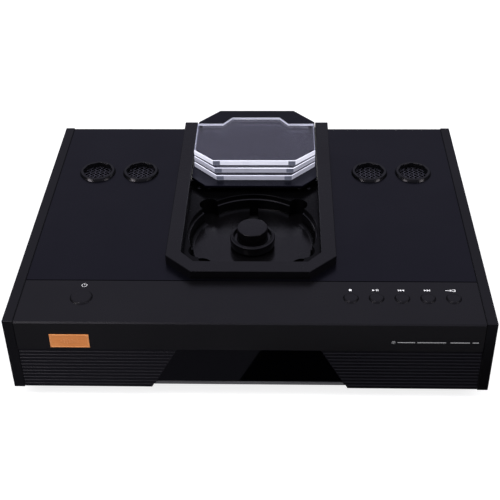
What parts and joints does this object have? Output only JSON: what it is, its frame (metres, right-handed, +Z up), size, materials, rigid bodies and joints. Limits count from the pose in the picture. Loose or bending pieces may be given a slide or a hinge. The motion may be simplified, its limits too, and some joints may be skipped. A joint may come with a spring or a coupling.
{
  "type": "top-loading cd player",
  "caption": "Wide black top-loading disc player: sliding lid of clear layers on an octagonal rail frame, disc well with clamp, keys, ribbed front and dark display window.",
  "frame": {"origin": "on the surface the feet stand on, below the middle of the bounding box with the lid pushed fully back", "axes": "+X to the right seen from the front, +Y to the rear, +Z up"},
  "size_m": [0.44, 0.3752, 0.1168],
  "materials": {
    "black_anodised": "satin black anodised",
    "clear_acrylic": "polished clear acrylic",
    "smoked_acrylic": "polished smoked acrylic",
    "copper_plate": "brushed copper tone",
    "black_plastic": "fine matt black",
    "white_plastic": "natural acetal",
    "black_steel": "black powder coat",
    "bright_steel": "zinc plated or ground",
    "rubber_black": "matt",
    "board_green": "solder mask",
    "display_glass": "dark display glass",
    "gold_contact": "gold plated",
    "core_varnish": "varnished windings",
    "sleeve_black": "shrink sleeve",
    "magnet_grey": "ferrite",
    "lens_glass": "coated lens"
  },
  "bodies": {
    "chassis": {"side_panel_left": "black_anodised", "side_panel_right": "black_anodised", "front_panel": "black_anodised", "display_window": "smoked_acrylic", "display_module": "display_glass", "badge_plate": "copper_plate", "top_deck": "black_anodised", "vent_rings": "black_anodised", "vent_meshes": "black_steel", "chassis_tray": "black_steel", "rear_panel": "black_steel", "foot_bodies": "black_anodised", "foot_pads": "rubber_black", "foot_screws": "bright_steel", "casing_screws": "bright_steel", "rear_panel_screws": "black_steel", "button_board": "board_green", "key_switches": "black_plastic", "lid_rail_frame": "black_anodised", "frame_screws": "bright_steel", "disc_well": "black_plastic", "drive_plate": "black_steel", "rubber_dampers": "rubber_black", "damper_screws": "bright_steel", "guide_rods": "bright_steel", "spindle_motor": "bright_steel", "sled_motor": "bright_steel", "gear_pin": "bright_steel", "transformer": "core_varnish", "transformer_bolt": "bright_steel", "power_board": "board_green", "capacitors": "sleeve_black", "main_board": "board_green", "board_standoffs": "bright_steel", "board_screws": "bright_steel", "mains_inlet": "black_plastic", "inlet_blades": "bright_steel", "phono_shells": "gold_contact", "phono_cores": "white_plastic", "optical_socket": "black_plastic"},
    "lid": {"lid_plate": "black_anodised", "lid_layer_bottom": "clear_acrylic", "lid_layer_middle": "clear_acrylic", "lid_layer_top": "clear_acrylic", "lid_spacers": "clear_acrylic", "lid_runners": "white_plastic"},
    "turntable": {"turntable": "black_plastic", "spindle_shaft": "bright_steel"},
    "disc_clamp": {"disc_clamp": "black_anodised", "clamp_magnet": "magnet_grey"},
    "pickup": {"pickup_sled": "black_plastic", "pickup_lens": "lens_glass"},
    "sled_gear": {"sled_gear": "white_plastic"},
    "motor_pinion": {"motor_pinion": "gold_contact"},
    "power_button": {"power_button": "black_anodised"},
    "stop_button": {"stop_button": "black_anodised"},
    "play_button": {"play_button": "black_anodised"},
    "previous_button": {"previous_button": "black_anodised"},
    "next_button": {"next_button": "black_anodised"},
    "input_button": {"input_button": "black_anodised"}
  },
  "joints": [
    {"name": "lid_slide", "type": "slide", "parent": "chassis", "child": "lid", "axis": [0, 1, 0], "range_m": [-0.134, 0]},
    {"name": "turntable_spin", "type": "hinge", "parent": "chassis", "child": "turntable", "pos_m": [0, -0.0404, 0.0722], "axis": [0, 0, 1], "continuous": true},
    {"name": "clamp_lift", "type": "slide", "parent": "turntable", "child": "disc_clamp", "axis": [0, 0, 1], "range_m": [0, 0.03]},
    {"name": "pickup_slide", "type": "slide", "parent": "chassis", "child": "pickup", "axis": [0, 1, 0], "range_m": [0, 0.035]},
    {"name": "sled_gear_spin", "type": "hinge", "parent": "chassis", "child": "sled_gear", "pos_m": [0.0435, 0.0051, 0.062], "axis": [0, 0, 1], "continuous": true},
    {"name": "pinion_spin", "type": "hinge", "parent": "chassis", "child": "motor_pinion", "pos_m": [0.0435, -0.0079, 0.062], "axis": [0, 0, 1], "continuous": true},
    {"name": "power_press", "type": "slide", "parent": "chassis", "child": "power_button", "axis": [0, 0, -1], "range_m": [0, 0.0008], "stiffness_N_per_m": 1500, "springref_m": -0.0004},
    {"name": "stop_press", "type": "slide", "parent": "chassis", "child": "stop_button", "axis": [0, 0, -1], "range_m": [0, 0.0008], "stiffness_N_per_m": 1500, "springref_m": -0.0004},
    {"name": "play_press", "type": "slide", "parent": "chassis", "child": "play_button", "axis": [0, 0, -1], "range_m": [0, 0.0008], "stiffness_N_per_m": 1500, "springref_m": -0.0004},
    {"name": "previous_press", "type": "slide", "parent": "chassis", "child": "previous_button", "axis": [0, 0, -1], "range_m": [0, 0.0008], "stiffness_N_per_m": 1500, "springref_m": -0.0004},
    {"name": "next_press", "type": "slide", "parent": "chassis", "child": "next_button", "axis": [0, 0, -1], "range_m": [0, 0.0008], "stiffness_N_per_m": 1500, "springref_m": -0.0004},
    {"name": "input_press", "type": "slide", "parent": "chassis", "child": "input_button", "axis": [0, 0, -1], "range_m": [0, 0.0008], "stiffness_N_per_m": 1500, "springref_m": -0.0004}
  ],
  "couplings": [
    {"joint": "sled_gear_spin", "follows": "pickup_slide", "rad_per_m": -285.71},
    {"joint": "pinion_spin", "follows": "pickup_slide", "rad_per_m": 952.38}
  ]
}
